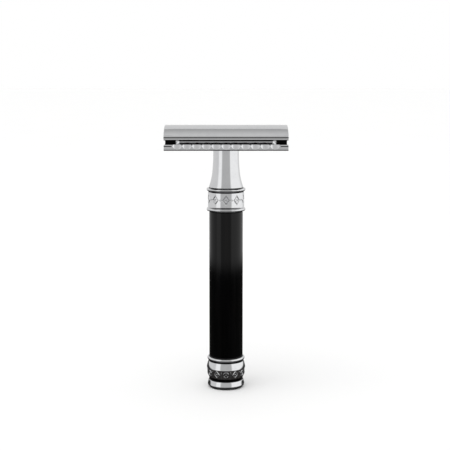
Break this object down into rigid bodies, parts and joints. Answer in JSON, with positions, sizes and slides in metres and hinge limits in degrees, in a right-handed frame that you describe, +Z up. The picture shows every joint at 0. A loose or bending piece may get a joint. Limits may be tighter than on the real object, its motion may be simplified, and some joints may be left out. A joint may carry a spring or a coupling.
{
  "type": "safety razor",
  "caption": "Upright three-piece double-edge safety razor: crowned clamping cap, scalloped closed-comb guard, waisted neck and straight black grip with a ringed, ornamented pommel.",
  "frame": {"origin": "centre of the foot, on the surface that the razor stands on", "axes": "+Z up along the handle's axis, +X along the cutting edges, +Y across the head"},
  "size_m": [0.0432, 0.0246, 0.0946],
  "materials": {
    "polished_chrome": "polished chrome plate over cast zinc and turned brass",
    "stud_steel": "plain turned steel",
    "insert_brass": "turned brass",
    "black_resin": "polished cast resin",
    "black_enamel": "blackened recess, satin",
    "seal_fibre": "matt",
    "foot_rubber": "matt"
  },
  "bodies": {
    "handle": {"neck": "polished_chrome", "neck_thread_insert": "insert_brass", "bead_ring": "polished_chrome", "engraved_collar": "polished_chrome", "upper_seal_washer": "seal_fibre", "grip_sleeve": "black_resin", "core_rod": "stud_steel", "lower_seal_washer": "seal_fibre", "pommel_bead_ring": "polished_chrome", "pommel_body": "polished_chrome", "pommel_enamel_fill": "black_enamel", "pommel_lower_ring": "polished_chrome", "lock_washer": "stud_steel", "tie_nut": "stud_steel", "foot_pad": "foot_rubber"},
    "guard": {"guard_plate": "polished_chrome"},
    "cap": {"top_cap": "polished_chrome", "cap_threaded_stud": "stud_steel", "cap_locating_pins": "polished_chrome"}
  },
  "joints": [
    {"name": "head_turn", "type": "hinge", "parent": "handle", "child": "guard", "pos_m": [0, 0, 0.0869], "axis": [0, 0, 1], "range_deg": [0, 4320]},
    {"name": "cap_lift", "type": "slide", "parent": "guard", "child": "cap", "axis": [0, 0, 1], "range_m": [0, 0.0096]}
  ],
  "couplings": [
    {"joint": "cap_lift", "follows": "head_turn", "m_per_rad": 0.00012732}
  ]
}
